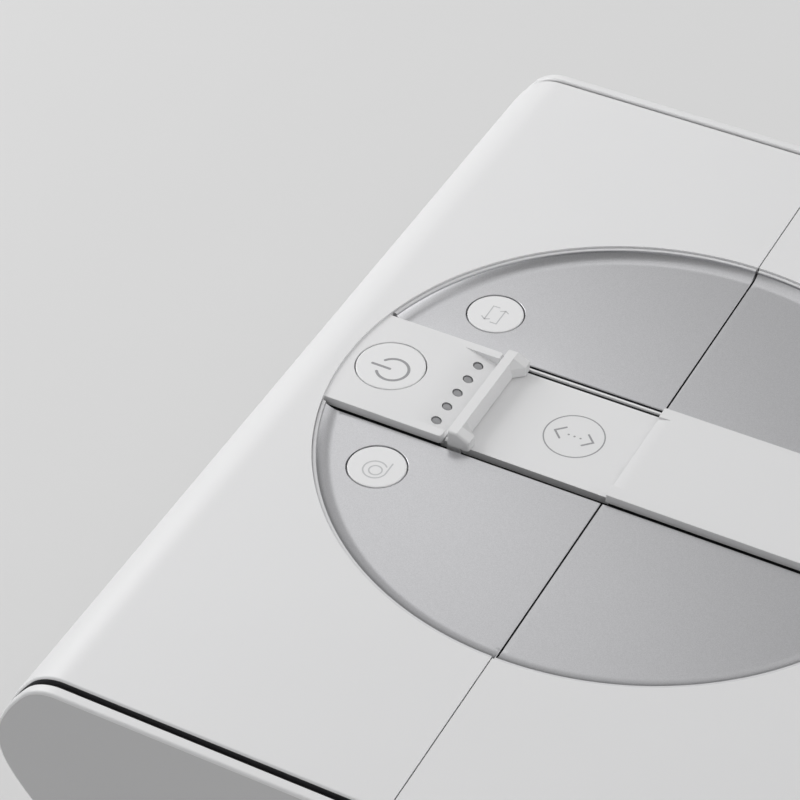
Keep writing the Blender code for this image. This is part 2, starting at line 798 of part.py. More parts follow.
def pump():
    """Pump plate, motor, impeller on its shaft, heater and two probes."""
    origin = (WET_X, 0, WET_BOTTOM)
    inner = WET_R - WET_WALL - GAP
    plate = tube(WET_X, 0, 2.2, inner, *PUMP_PLATE_Z, 40)
    add("pump_plate", plate, "dark_plastic", origin)
    motor = tube(WET_X, 0, 2.2, 14.0, PUMP_PLATE_Z[1] + GAP, WET_TOP - GAP, 32)
    add("pump_motor", motor, "steel", origin)
    shaft = disc(WET_X, 0, 1.6, 7.2, WET_TOP - 4.0, 16)
    add("impeller_shaft", shaft, "steel", origin)
    impeller(origin)
    heater(origin)
    probe = disc(WET_X - 18.8, 0, 1.4, 7.0, PUMP_PLATE_Z[0] - GAP, 12)
    add("temperature_probe", probe, "steel", origin)
    pin = disc(WET_X + 29.4, 0, 0.8, 8.0, PUMP_PLATE_Z[0] - GAP, 10)
    add("water_level_probe", pin, "steel", origin)


def impeller(origin):
    """Hub and back disc with six straight vanes."""
    profile = [(2.0, 8.0), (4.5, 8.0), (4.5, 13.5), (IMPELLER_R, 13.5)]
    profile += [(IMPELLER_R, 15.0), (2.0, 15.0)]
    wheel = add(
        "impeller", turned(profile, WET_X, 0, count=32), "dark_plastic", origin
    )
    vanes = bmesh.new()
    for i in range(6):
        turn = math.radians(60 * i)
        along = Vector((math.cos(turn), math.sin(turn)))
        across = Vector((-along.y, along.x)) * 0.6
        start, end = along * 4.0, along * (IMPELLER_R - 0.6)
        corners = (start - across, end - across, end + across, start + across)
        outline = [(WET_X + c.x, c.y) for c in corners]
        prism(outline, "z", 8.6, 13.9, vanes)
    boolean(wheel, cutter("impeller_vanes", vanes), "UNION")


def heater(origin):
    """Round tube heater that circles the impeller."""
    outline = circle(25.2, 11.5, 2.6, 8)
    ring_heater = turned(outline, WET_X, 0, count=24)
    add("heater_ring", ring_heater, "steel", origin)


# ---------------------------------------------------------------- power


def power_works():
    """Power board with its transformer and capacitor."""
    board_top = POWER_BOARD_Z + BOARD_T
    board = box((-82, -8), (53, 96), (POWER_BOARD_Z, board_top))
    add("power_board", board, "circuit_board")
    low = board_top + GAP
    add("transformer", box((-40, -14), (60, 88), (low, low + 22)), "component")
    can = disc(-64, 74, 8.0, low, low + 20, 24)
    add("filter_capacitor", can, "component")


def inlet():
    """Two-pin mains inlet."""
    xs = (INLET_X - INLET_W / 2, INLET_X + INLET_W / 2)
    zs = (INLET_Z - INLET_H / 2, INLET_Z + INLET_H / 2)
    body = add("mains_inlet", box(xs, (132, CAP_OUT - 0.3), zs), "dark_plastic")
    xs = (INLET_X - INLET_W / 2 + 4, INLET_X + INLET_W / 2 - 4)
    zs = (INLET_Z - INLET_H / 2 + 4, INLET_Z + INLET_H / 2 - 4)
    boolean(body, cutter("inlet_socket", box(xs, (138, 160), zs)))
    pins = bmesh.new()
    for x in (-PIN_X, PIN_X):
        points = circle(INLET_X + x, INLET_Z, PIN_R, 10)
        prism(points, "y", 137.0, 149.0, pins)
    boolean(body, cutter("inlet_pins", pins), "UNION")


def main():
    """Clears the scene and builds every piece."""
    for old in list(bpy.data.objects):
        bpy.data.objects.remove(old)
    for side, half in ((-1, "left"), (1, "right")):
        skin(side, f"{half}_shell")
        base(side, f"{half}_base")
        chassis(side, f"{half}_chassis")
        dish(side, f"{half}_dish")
        for end, place in ((-1, "near"), (1, "far")):
            end_cap(side, end, f"{half}_{place}_cap")
            base_screw(side, end, f"{half}_{place}_screw")
            foot(side, end, f"{half}_{place}_foot")
    control_head()
    lamps()
    tongue()
    sleeve()
    knob()
    fader()
    buttons()
    slide_works()
    wet_housing()
    intake_grille()
    pump()
    power_works()
    inlet()


main()
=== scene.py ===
"""Looks of the flat two-part sous vide circulator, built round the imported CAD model."""

import json
import math

import bmesh
import bpy
from mathutils import Matrix, Vector


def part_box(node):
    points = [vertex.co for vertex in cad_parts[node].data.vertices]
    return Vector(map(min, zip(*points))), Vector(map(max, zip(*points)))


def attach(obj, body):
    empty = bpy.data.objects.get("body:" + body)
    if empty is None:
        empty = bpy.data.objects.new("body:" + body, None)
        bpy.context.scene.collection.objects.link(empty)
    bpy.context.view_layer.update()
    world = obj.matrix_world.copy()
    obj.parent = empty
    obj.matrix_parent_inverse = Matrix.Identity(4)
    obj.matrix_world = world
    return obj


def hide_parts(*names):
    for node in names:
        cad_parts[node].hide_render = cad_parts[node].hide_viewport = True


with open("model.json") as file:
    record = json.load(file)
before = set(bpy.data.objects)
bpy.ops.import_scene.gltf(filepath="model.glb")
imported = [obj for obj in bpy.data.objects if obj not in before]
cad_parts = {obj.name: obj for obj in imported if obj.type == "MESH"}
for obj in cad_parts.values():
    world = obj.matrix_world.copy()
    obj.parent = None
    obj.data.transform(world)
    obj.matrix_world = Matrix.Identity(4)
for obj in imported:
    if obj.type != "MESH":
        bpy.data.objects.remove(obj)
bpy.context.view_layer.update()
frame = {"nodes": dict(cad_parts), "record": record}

MM = 0.001


def mm_box(node):
    """Lowest and highest corner of a CAD node, in millimetres."""
    low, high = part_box(node)
    return [round(v / MM, 3) for v in low], [round(v / MM, 3) for v in high]


def axis_of(node):
    """Plan position of the middle of a CAD node."""
    low, high = mm_box(node)
    return (low[0] + high[0]) / 2, (low[1] + high[1]) / 2


# ---------------------------------------------------------------- sizes, in mm

SHELL_LOW, SHELL_HIGH = mm_box("right_shell")
SEAM = SHELL_LOW[0]
TOP = SHELL_HIGH[2]
FOOT_H = SHELL_LOW[2]
HALF_L = SHELL_HIGH[1]
CAP_IN = mm_box("right_far_cap")[0][1]
CAP_OUT = mm_box("right_far_cap")[1][1]
MIDDLE_Z = (TOP + FOOT_H) / 2
FLAT_X = 92.3
EDGE_ARCS = ((14.5, 50.0, 14), (56.0, 65.0, 6), (22.5, 90.0, 14))
WALL = 2.4
END_ROUND = 0.8
CAP_INSET = 0.5
CAP_FACE = 148.8
CAP_ROUND = 0.9
CAP_INNER_ROUND = 1.0

LIP_TOP = TOP - 0.6
DISH_R = 88.1
LIP_R = 89.22
HOLE_R = 89.3
LIP_ROUND = 0.28
FLANGE_R = mm_box("right_dish")[1][0] - SEAM
FLOOR = TOP - 2.8
DISH_BOTTOM = FLOOR - 2.0
BLEND_R = 8.5
BLEND_TOP = LIP_TOP - 0.9
SLOT_Y = (-21.5, 21.0)
SLOT_ROUND = 0.3
TRAY_BOTTOM = mm_box("left_dish")[0][2]
TRAY_TOP = TRAY_BOTTOM + 1.2

BAR_Y = 20.05
BAR_ROUND = 0.18
BAR_BOTTOM = mm_box("sleeve")[0][2]
COVER_BOTTOM = TOP - 3.4
SKIRT_INSET = 0.7
HEAD_END = mm_box("control_head")[1][0]
RAMP_START = -61.2
RAMP_LOW = TOP - 3.2
RAMP_Y = 17.2
RAMP_SLOPE = (LIP_TOP - RAMP_LOW) / (HEAD_END - RAMP_START)
MOUTH_Z = TOP - 1.4
MOUTH_END = 4.2
MOUTH_Y = 15.8
HEAD_CEILING = TOP - 4.0
TONGUE_LOW, TONGUE_HIGH = mm_box("tongue")
TONGUE_Y = TONGUE_HIGH[1]
TONGUE_TOP = TONGUE_HIGH[2]
TONGUE_BOTTOM = TONGUE_TOP - 2.5
SLEEVE_X = mm_box("sleeve")[0][0]

KNOB_BACK, _, _ = mm_box("slider_knob")[0]
KNOB_FOOT = -44.4
KNOB_CREST = -45.4
KNOB_TIP = mm_box("slider_knob")[1][0]
KNOB_TOP = mm_box("slider_knob")[1][2]
KNOB_TIP_TOP = TOP + 0.15
KNOB_FOOT_TOP = TOP - 0.2
KNOB_Y_IN = 13.8
KNOB_Y_OUT = 16.3
KNOB_Y_END = 19.9
CHEEK_ROUND = 0.9

WET_X = axis_of("wet_head_housing")[0]
WET_R = mm_box("wet_head_housing")[1][0] - WET_X
# groove around a foot: (radius, z)
FOOT_GROOVE = [(7.3, 2.0), (8.1, 2.0), (8.1, FOOT_H + 0.25), (7.3, FOOT_H + 0.25)]

CUP_WALL = 2.0
CUP_LID = 2.6
SLAT_PITCH = 7.0
SLAT_HALF = 1.2
OUTLET_Y = 11.5
OUTLET_R = 4.2
SCREW_HOLE_R = 1.6
SCREW_WELL_R = 3.4
SCREW_WELL = 1.3
BOSS_X = (-78, -12)
BOSS_Y = (57, 92)
BOSS_R = 3.0
SOCKET_WALL = 4
SOCKET_START = 138
PIN_X = 4.3
PIN_R = 1.2
PIN_END = 149
SEAM_CUT = 0.05
SEAM_ROUND = 0.15

POWER_X = -76.4
POWER_R = 10.1
MODE_X = -61.2
MODE_Y = 37.0
MODE_R = 8.3
BUTTON_GAP = 0.35
MODE_GAP = 0.42
LED_X = -55.0
LED_PITCH = 6.55
LED_R = 1.5
MARK_X = -18.4


# ---------------------------------------------------------------- materials


class Nodes:
    """Short ways to add shader nodes to one material."""

    def __init__(self, name):
        self.made = bpy.data.materials.new(name)
        self.made.use_nodes = True
        self.tree = self.made.node_tree
        self.shader = self.tree.nodes["Principled BSDF"]
        self.place = self.node("ShaderNodeTexCoord").outputs["Object"]

    def node(self, kind, **values):
        made = self.tree.nodes.new(kind)
        for key, value in values.items():
            setattr(made, key, value)
        return made

    def link(self, start, end):
        self.tree.links.new(start, end)

    def noise(self, scale, detail=2.0, rough=0.5, stretch=None):
        """Noise over the object; scale is features per metre."""
        made = self.node("ShaderNodeTexNoise")
        made.inputs["Scale"].default_value = scale
        made.inputs["Detail"].default_value = detail
        made.inputs["Roughness"].default_value = rough
        start = self.place
        if stretch:
            mapping = self.node("ShaderNodeMapping")
            mapping.inputs["Scale"].default_value = stretch
            self.link(start, mapping.inputs["Vector"])
            start = mapping.outputs["Vector"]
        self.link(start, made.inputs["Vector"])
        return made.outputs["Fac"]

    def spread(self, value, low, high, into):
        """Maps a 0..1 value to low..high and feeds it to a socket."""
        made = self.node("ShaderNodeMapRange")
        made.inputs["From Min"].default_value = 0.25
        made.inputs["From Max"].default_value = 0.75
        made.inputs["To Min"].default_value = low
        made.inputs["To Max"].default_value = high
        self.link(value, made.inputs["Value"])
        self.link(made.outputs["Result"], into)

    def colours(self, value, first, second, into, start=0.3, end=0.7):
        """Blends two colours by a 0..1 value."""
        ramp = self.node("ShaderNodeValToRGB")
        ramp.color_ramp.elements[0].position = start
        ramp.color_ramp.elements[0].color = (*first, 1.0)
        ramp.color_ramp.elements[1].position = end
        ramp.color_ramp.elements[1].color = (*second, 1.0)
        self.link(value, ramp.inputs["Fac"])
        self.link(ramp.outputs["Color"], into)

    def bump(self, height, depth, strength=1.0):
        """Feeds a height to the normal; depth in metres."""
        made = self.node("ShaderNodeBump")
        made.inputs["Strength"].default_value = strength
        made.inputs["Distance"].default_value = depth
        self.link(height, made.inputs["Height"])
        self.link(made.outputs["Normal"], self.shader.inputs["Normal"])


def tint(colour, factor):
    return tuple(min(1.0, c * factor) for c in colour)


def moulded(name, colour, rough, grain, depth, metallic=0.0, vary=0.02, specular=0.5):
    """Moulded or painted surface: faint mottling, spark-eroded grain, worn sheen."""
    nodes = Nodes(name)
    wide = nodes.noise(18.0, 3.0)
    fine = nodes.noise(grain, 3.0, 0.6)
    base = nodes.shader.inputs
    nodes.colours(wide, tint(colour, 1 - vary), tint(colour, 1 + vary), base["Base Color"])
    nodes.spread(fine, rough - 0.04, rough + 0.04, base["Roughness"])
    base["Metallic"].default_value = metallic
    base["Specular IOR Level"].default_value = specular
    nodes.bump(fine, depth)
    return nodes.made


def lacquer(name, colour, rough, metallic):
    """Silver-grey satin lacquer with fine flakes."""
    nodes = Nodes(name)
    base = nodes.shader.inputs
    flakes = nodes.node("ShaderNodeTexVoronoi")
    flakes.inputs["Scale"].default_value = 6500.0
    nodes.link(nodes.place, flakes.inputs["Vector"])
    split = nodes.node("ShaderNodeSeparateColor")
    nodes.link(flakes.outputs["Color"], split.inputs["Color"])
    nodes.colours(
        split.outputs["Red"], tint(colour, 0.95), tint(colour, 1.05), base["Base Color"]
    )
    base["Roughness"].default_value = rough
    base["Metallic"].default_value = metallic
    fine = nodes.noise(2600.0, 2.0, 0.6)
    nodes.bump(fine, 0.000004)
    return nodes.made


def brushed(name, colour, rough, stretch, depth=0.00001, metallic=1.0):
    """Turned or drawn metal with fine lines."""
    nodes = Nodes(name)
    base = nodes.shader.inputs
    lines = nodes.noise(900.0, 4.0, 0.65, stretch)
    wide = nodes.noise(30.0, 3.0)
    nodes.colours(wide, tint(colour, 0.92), tint(colour, 1.06), base["Base Color"])
    nodes.spread(lines, rough - 0.08, rough + 0.10, base["Roughness"])
    base["Metallic"].default_value = metallic
    nodes.bump(lines, depth)
    return nodes.made


def sintered(name, colour):
    """Porous bearing bronze."""
    nodes = Nodes(name)
    base = nodes.shader.inputs
    pores = nodes.noise(2200.0, 5.0, 0.7)
    nodes.colours(pores, tint(colour, 0.45), colour, base["Base Color"], 0.38, 0.5)
    nodes.spread(pores, 0.55, 0.32, base["Roughness"])
    base["Metallic"].default_value = 1.0
    nodes.bump(pores, 0.00002)
    return nodes.made


def board(name):
    """Green solder mask over copper tracks that run along the board."""
    nodes = Nodes(name)
    base = nodes.shader.inputs
    tracks = nodes.node("ShaderNodeTexWave", wave_type="BANDS", bands_direction="X")
    tracks.inputs["Scale"].default_value = 160.0
    tracks.inputs["Distortion"].default_value = 6.0
    tracks.inputs["Detail"].default_value = 1.0
    tracks.inputs["Detail Scale"].default_value = 0.6
    nodes.link(nodes.place, tracks.inputs["Vector"])
    nodes.colours(
        tracks.outputs["Fac"],
        (0.006, 0.075, 0.028),
        (0.014, 0.16, 0.06),
        base["Base Color"],
        0.45,
        0.55,
    )
    nodes.spread(nodes.noise(700.0), 0.28, 0.42, base["Roughness"])
    nodes.bump(tracks.outputs["Fac"], 0.00004)
    return nodes.made


WHITE = (0.80, 0.80, 0.805)
MATERIALS = {
    "white_plastic": moulded("white_plastic", WHITE, 0.46, 2400.0, 0.000006, vary=0.006),
    "lip_white": moulded("lip_white", (0.70, 0.70, 0.71), 0.40, 2400.0, 0.000005, 0.0, 0.006),
    "grey_paint": lacquer("grey_paint", (0.60, 0.60, 0.615), 0.28, 0.85),
    "button_white": moulded("button_white", (0.83, 0.83, 0.835), 0.42, 3200.0, 0.000004, vary=0.006),
    # Darker copy of the white plastic for the end caps' outer faces: painted shade
    "end_painted_shade": moulded("end_painted_shade", (0.60, 0.60, 0.605), 0.50, 2400.0, 0.000006, vary=0.006),
    "lamp_lens": moulded("lamp_lens", (0.34, 0.34, 0.35), 0.30, 4000.0, 0.000004),
    # Print colour, also painted on the lamp-hole walls as painted shade round the lenses
    "ink_and_hole_shade": moulded("ink_and_hole_shade", (0.34, 0.34, 0.35), 0.55, 5000.0, 0.000002),
    "faint_ink": moulded("faint_ink", (0.56, 0.56, 0.57), 0.55, 5000.0, 0.000002),
    "steel": brushed("steel", (0.62, 0.62, 0.64), 0.26, (1.0, 12.0, 12.0)),
    # dark_plastic is also painted onto white faces in gaps, slots and under covers as painted shade
    "dark_plastic": moulded("dark_plastic", (0.030, 0.030, 0.033), 0.50, 1500.0, 0.00002, vary=0.12),
    "rubber": moulded("rubber", (0.022, 0.022, 0.022), 0.80, 1100.0, 0.00004, vary=0.2),
    "circuit_board": board("circuit_board"),
    "brass": sintered("brass", (0.72, 0.50, 0.22)),
    "component": moulded("component", (0.075, 0.075, 0.082), 0.42, 1200.0, 0.00002, vary=0.1),
}


# ---------------------------------------------------------------- mesh tools, in mm


def raw(name, bm):
    """A working object in millimetres."""
    bmesh.ops.recalc_face_normals(bm, faces=bm.faces)
    mesh = bpy.data.meshes.new(name)
    bm.to_mesh(mesh)
    bm.free()
    made = bpy.data.objects.new(name, mesh)
    bpy.context.scene.collection.objects.link(made)
    return made


def paint(target, rules, first):
    """Paints all faces with the first material, then those that pass a rule's test."""
    mesh = target.data
    mesh.materials.clear()
    mesh.materials.append(MATERIALS[first])
    for index, (material, test) in enumerate(rules, 1):
        mesh.materials.append(MATERIALS[material])
        for face in mesh.polygons:
            if test(face.center):
                face.material_index = index


def settle(target):
    """Applies the working object's modifiers."""
    graph = bpy.context.evaluated_depsgraph_get()
    mesh = bpy.data.meshes.new_from_object(target.evaluated_get(graph), depsgraph=graph)
    target.modifiers.clear()
    old = target.data
    target.data = mesh
    bpy.data.meshes.remove(old)


def boolean(target, bm, operation="DIFFERENCE"):
    """Cuts a solid out of the target, or joins it on."""
    tool = raw("tool", bm)
    step = target.modifiers.new("cut", "BOOLEAN")
    step.operation = operation
    step.solver = "EXACT"
    step.object = tool
    settle(target)
    bpy.data.objects.remove(tool)


def bevel(target, width, segments=3, angle=35.0):
    step = target.modifiers.new("round", "BEVEL")
    step.width = width
    step.segments = segments
    step.limit_method = "ANGLE"
    step.angle_limit = math.radians(angle)
    settle(target)


def piece(target, name, slot, body, nodes=(), material=None, sharp=32.0):
    """Turns a working object into a shown piece that rides on a body."""
    mesh = target.data
    mesh.transform(Matrix.Scale(MM, 4))
    mesh.shade_smooth()
    mesh.set_sharp_from_angle(angle=math.radians(sharp))
    if not mesh.materials:
        mesh.materials.append(MATERIALS[material or slot])
    target.name = name
    mesh.name = name
    step = target.modifiers.new("flat_faces", "WEIGHTED_NORMAL")
    step.keep_sharp = True
    step.weight = 80
    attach(target, body)
    if nodes:
        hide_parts(*nodes)
    return target


def loft(bm, rings):
    """Closed solid through rings of equal length."""
    rows = [[bm.verts.new(point) for point in ring] for ring in rings]
    count = len(rows[0])
    for low, high in zip(rows, rows[1:]):
        for i in range(count):
            j = (i + 1) % count
            bm.faces.new((low[i], low[j], high[j], high[i]))
    bm.faces.new(rows[0][::-1])
    bm.faces.new(rows[-1])
    return bm


def prism(outline, axis, low, high, bm=None):
    bm = bm or bmesh.new()
    place = {
        "x": lambda a, b, c: (c, a, b),
        "y": lambda a, b, c: (a, c, b),
        "z": lambda a, b, c: (a, b, c),
    }[axis]
    return loft(bm, [[place(a, b, c) for a, b in outline] for c in (low, high)])


def box(x, y, z, bm=None):
    outline = [(x[0], y[0]), (x[1], y[0]), (x[1], y[1]), (x[0], y[1])]
    return prism(outline, "z", z[0], z[1], bm)


def arc(cx, cy, radius, start, end, count):
    steps = [math.radians(start + (end - start) * i / count) for i in range(count + 1)]
    return [(cx + radius * math.cos(t), cy + radius * math.sin(t)) for t in steps]


def circle(cx, cy, radius, count=48):
    return arc(cx, cy, radius, 0, 360, count)[:-1]


def disc(cx, cy, radius, low, high, count=48, bm=None):
    return prism(circle(cx, cy, radius, count), "z", low, high, bm)


def turned(profile, cx, cy, start=0.0, sweep=360.0, count=64, bm=None):
    """Turns a closed (radius, z) profile about an upright axis."""
    bm = bm or bmesh.new()
    whole = sweep == 360.0
    axis_verts = {}
    rows = []
    for k in range(count if whole else count + 1):
        turn = math.radians(start + sweep * k / count)
        row = []
        for i, (radius, z) in enumerate(profile):
            if radius == 0.0:
                if i not in axis_verts:
                    axis_verts[i] = bm.verts.new((cx, cy, z))
                row.append(axis_verts[i])
            else:
                x = cx + radius * math.cos(turn)
                y = cy + radius * math.sin(turn)
                row.append(bm.verts.new((x, y, z)))
        rows.append(row)
    pairs = list(zip(rows, rows[1:]))
    if whole:
        pairs.append((rows[-1], rows[0]))
    for low, high in pairs:
        for i in range(len(profile)):
            j = (i + 1) % len(profile)
            corners = []
            for vert in (low[i], low[j], high[j], high[i]):
                if vert not in corners:
                    corners.append(vert)
            if len(corners) > 2:
                bm.faces.new(corners)
    if not whole:
        bm.faces.new(rows[0][::-1])
        bm.faces.new(rows[-1])
    return bm


def rounded(corners, radii, steps=4):
    """A closed outline whose corners are rounded; radii is one number or one each."""
    count = len(corners)
    if not isinstance(radii, (list, tuple)):
        radii = [radii] * count
    made = []
    for i, corner in enumerate(corners):
        here = Vector(corner)
        back = (Vector(corners[i - 1]) - here).normalized()
        on = (Vector(corners[(i + 1) % count]) - here).normalized()
        if radii[i] <= 0:
            made.append(tuple(here))
            continue
        half = back.angle(on) / 2
        reach = radii[i] / math.tan(half)
        centre = here + (back + on).normalized() * (radii[i] / math.sin(half))
        first = here + back * reach - centre
        last = here + on * reach - centre
        for k in range(steps + 1):
            mix = k / steps
            turn = (first.lerp(last, mix)).normalized() * radii[i]
            made.append(tuple(centre + turn))
    return made


def rounded_box(left, right, low, high, radius):
    corners = [(left, low), (right, low), (right, high), (left, high)]
    return rounded(corners, radius)


# ---------------------------------------------------------------- housings


def edge_curve(inset):
    """The long edge (x, z) from the top face to the bottom, set in by inset."""
    x, z, slope = FLAT_X, TOP, 0.0
    upper = [(FLAT_X - 0.6, TOP - inset)]
    for radius, end, steps in EDGE_ARCS:
        turn = math.radians(slope)
        x -= radius * math.sin(turn)
        z -= radius * math.cos(turn)
        part = arc(x, z, radius - inset, 90 - slope, 90 - end, steps)
        upper += part if slope == 0.0 else part[1:]
        turn = math.radians(end)
        x += radius * math.sin(turn)
        z += radius * math.cos(turn)
        slope = end
    return upper + [(a, 2 * MIDDLE_Z - b) for a, b in upper[::-1][1:]]


def shell(side, half):
    """Wrap-around skin, open at the seam and the ends, with rounded end edges."""
    inner = edge_curve(WALL)[::-1] + [(SEAM, TOP - WALL)]
    rings = []
    for end in (-1, 1):
        steps = [math.radians(90 * k / 6) for k in range(7)]
        if end < 0:
            steps = steps[::-1]
        for turn in steps:
            inset = END_ROUND * (1 - math.cos(turn))
            y = end * (HALF_L - END_ROUND + END_ROUND * math.sin(turn))
            outer = [(SEAM, TOP - inset)] + edge_curve(inset)
            rings.append([(side * x, y, z) for x, z in outer + inner])
    skin = raw(half, loft(bmesh.new(), rings))
    profile = [
        (0.0, TOP - WALL - 2),
        (HOLE_R, TOP - WALL - 2),
        (HOLE_R, TOP - 0.1),
        (HOLE_R + 0.03, TOP - 0.03),
        (HOLE_R + 0.1, TOP),
        (HOLE_R + 0.1, TOP + 2),
        (0.0, TOP + 2),
    ]
    boolean(skin, turned(profile, side * SEAM, 0, count=256))
    # The skin's flat end faces are painted dark: painted shade in the gap before the end caps
    paint(skin, [("dark_plastic", lambda c: abs(c.y) > HALF_L - 0.02)], "white_plastic")
    name = f"{half}_shell"
    piece(skin, f"{half}_skin", "white_plastic", BODY[half], (name,))


def slab_section(side, inset, seam):
    points = [(seam, TOP - inset)] + edge_curve(inset) + [(seam, FOOT_H + inset)]
    return [(side * x, z) for x, z in points]


def end_cap(side, end, half):
    """End cap: rounded plate behind a shadow gap, with a spigot in the skin. Spigot, inner face and
    seam face are painted dark and the outer face a darker grey, as painted shade.
    """
    place = "near" if end < 0 else "far"
    rings = []
    steps = 5
    for k in range(steps + 1):
        turn = math.radians(90 * k / steps)
        inset = CAP_INSET + CAP_INNER_ROUND * (1 - math.sin(turn))
        y = end * (CAP_FACE + CAP_INNER_ROUND * (1 - math.cos(turn)))
        rings.append([(x, y, z) for x, z in slab_section(side, inset, SEAM)])
    for k in range(steps + 1):
        turn = math.radians(90 * k / steps)
        inset = CAP_INSET + CAP_ROUND * (1 - math.cos(turn))
        y = end * (CAP_OUT - CAP_ROUND + CAP_ROUND * math.sin(turn))
        rings.append([(x, y, z) for x, z in slab_section(side, inset, SEAM)])
    cap = raw(place, loft(bmesh.new(), rings))
    spigot = slab_section(side, WALL + 0.3, SEAM + 1.0)
    ys = sorted((end * CAP_IN, end * (CAP_FACE + 1.0)))
    boolean(cap, prism(spigot, "y", *ys), "UNION")
    if side < 0 < end:
        low, high = mm_box("mains_inlet")
        window = rounded_box(low[0] - 0.3, high[0] + 0.3, low[2] - 0.3, high[2] + 0.3, 1.8)
        boolean(cap, prism(window, "y", 140, 160))
    rules = [
        # Spigot, inner plate face and seam face: painted dark as painted shade in the gap
        ("dark_plastic", lambda c: abs(c.y) < CAP_FACE - 0.02 or abs(c.x) < SEAM + 0.01),
        # Outer face of the cap: the darker white, painted shade for a face turned from the light
        ("end_painted_shade", lambda c: abs(c.y) > CAP_OUT - 0.01),
    ]
    paint(cap, rules, "white_plastic")
    node = f"{half}_{place}_cap"
    piece(cap, f"{half}_{place}_end", "white_plastic", BODY[half], (node,), sharp=40)


def base_plate(side, half):
    """Bottom plate with softened edges, counterbored for its screws."""
    node = f"{half}_base"
    low, high = mm_box(node)
    skin = (FOOT_H, FOOT_H + WALL)
    plate = raw(node, box((low[0], high[0]), (low[1], high[1]), skin))
    for end in ("near", "far"):
        x, y = axis_of(f"{half}_{end}_screw")
        boolean(plate, disc(x, y, SCREW_HOLE_R, 0, 20, 24))
        boolean(plate, disc(x, y, SCREW_WELL_R, 0, FOOT_H + SCREW_WELL, 40))
        x, y = axis_of(f"{half}_{end}_foot")
        boolean(plate, turned(FOOT_GROOVE, x, y))
    if side < 0:
        boolean(plate, disc(WET_X, 0, WET_R + 0.6, 0, 20, 128))
        for x in BOSS_X:
            for y in BOSS_Y:
                boolean(plate, disc(x, y, BOSS_R, FOOT_H + 1, high[2], 24), "UNION")
    bevel(plate, 0.2, 2, 50)
    piece(plate, f"{half}_bottom", "white_plastic", BODY[half], (node,))


def rubber_foot(half, end):
    """Foot with a rounded tread around a shallow dimple."""
    node = f"{half}_{end}_foot"
    low, high = mm_box(node)
    radius = (high[0] - low[0]) / 2 - 0.02
    corners = [(0.0, 0.6), (3.8, 0.6), (4.4, 0.0), (radius - 0.9, 0.0)]
    corners += [(radius, 1.3), (radius, high[2]), (0.0, high[2])]
    profile = rounded(corners, [0, 0.4, 0.3, 0.7, 0.6, 0, 0])
    tread = raw(node, turned(profile, *axis_of(node)))
    piece(tread, f"{half}_{end}_tread", "rubber", BODY[half], (node,))


def base_screw(half, end):
    """Countersunk screw with a cross recess."""
    node = f"{half}_{end}_screw"
    low, high = mm_box(node)
    corners = [(0.0, low[2]), (2.5, low[2]), (3.0, low[2] + 0.3), (1.2, low[2] + 0.8)]
    corners += [(1.2, high[2] - 0.6), (0.0, high[2])]
    profile = rounded(corners, [0, 0.4, 0.05, 0, 0, 0])
    x, y = axis_of(node)
    screw = raw(node, turned(profile, x, y, count=40))
    for wide, deep in ((1.7, 0.4), (0.4, 1.7)):
        slot = box((x - wide, x + wide), (y - deep, y + deep), (0, low[2] + 0.55))
        boolean(screw, slot)
    piece(screw, f"{half}_{end}_bolt", "steel", BODY[half], (node,))


def wet_cup():
    """Cup that opens downwards with a rounded lip, and its strainer."""
    low, high = mm_box("wet_head_housing")
    roof = high[2] - CUP_LID
    inner = WET_R - CUP_WALL
    corners = [(0.0, roof), (inner, roof), (inner, low[2]), (WET_R, low[2])]
    corners += [(WET_R, high[2]), (0.0, high[2])]
    profile = rounded(corners, [0, 0, 0.5, 0.9, 0.4, 0])
    cup = raw("cup", turned(profile, WET_X, 0, count=128))
    for end in ("near", "far"):
        x, y = axis_of(f"{end}_guide_post")
        post = (mm_box(f"{end}_guide_post")[1][0] - x) + 0.4
        turn = 1 if y > 0 else -1
        ys = sorted((turn * inner, turn * high[1]))
        boolean(cup, box((x - 6, x + 6), ys, (roof + 0.3, high[2])), "UNION")
        boolean(cup, disc(x, y, post, roof - 5, high[2] + 5, 32))
    port = prism(circle(WET_X, OUTLET_Y, OUTLET_R, 48), "y", WET_R - 6, WET_R + 4)
    boolean(cup, port)
    piece(cup, "intake_cup", "white_plastic", "wet_head", ("wet_head_housing",))

    low, high = mm_box("intake_grille")
    radius = (high[0] - low[0]) / 2
    corners = [(0.0, low[2]), (radius, low[2]), (radius, high[2]), (0.0, high[2])]
    profile = rounded(corners, [0, 0.6, 0.2, 0])
    grille = raw("grille", turned(profile, WET_X, 0, count=96))
    for i in range(-3, 4):
        reach = math.sqrt((radius - 4) ** 2 - (SLAT_PITCH * i) ** 2)
        x = WET_X + SLAT_PITCH * i
        slot = rounded_box(x - SLAT_HALF, x + SLAT_HALF, -reach, reach, 1.15)
        boolean(grille, prism(slot, "z", low[2] - 1, high[2] + 1))
    bevel(grille, 0.15, 2, 50)
    piece(grille, "strainer", "dark_plastic", "wet_head", ("intake_grille",))


def inlet():
    """Two-pin inlet: rounded collar, open socket and bright pins."""
    low, high = mm_box("mains_inlet")
    x, z = (low[0] + high[0]) / 2, (low[2] + high[2]) / 2
    outline = rounded_box(low[0], high[0], low[2], high[2], 1.5)
    body = raw("inlet", prism(outline, "y", low[1], high[1]))
    wide, tall = high[0] - SOCKET_WALL - x, high[2] - SOCKET_WALL - z
    socket = rounded_box(x - wide, x + wide, z - tall, z + tall, 1.2)
    boolean(body, prism(socket, "y", SOCKET_START, 160))
    bevel(body, 0.3, 3, 50)
    piece(body, "inlet_collar", "dark_plastic", "left_half", ("mains_inlet",))
    for name, side in (("left", -1), ("right", 1)):
        ring = circle(x + side * PIN_X, z, PIN_R, 32)
        pin = raw(name, prism(ring, "y", SOCKET_START + 0.1, PIN_END))
        bevel(pin, 0.5, 3, 50)
        piece(pin, f"{name}_inlet_pin", "steel", "left_half")


# ---------------------------------------------------------------- dish


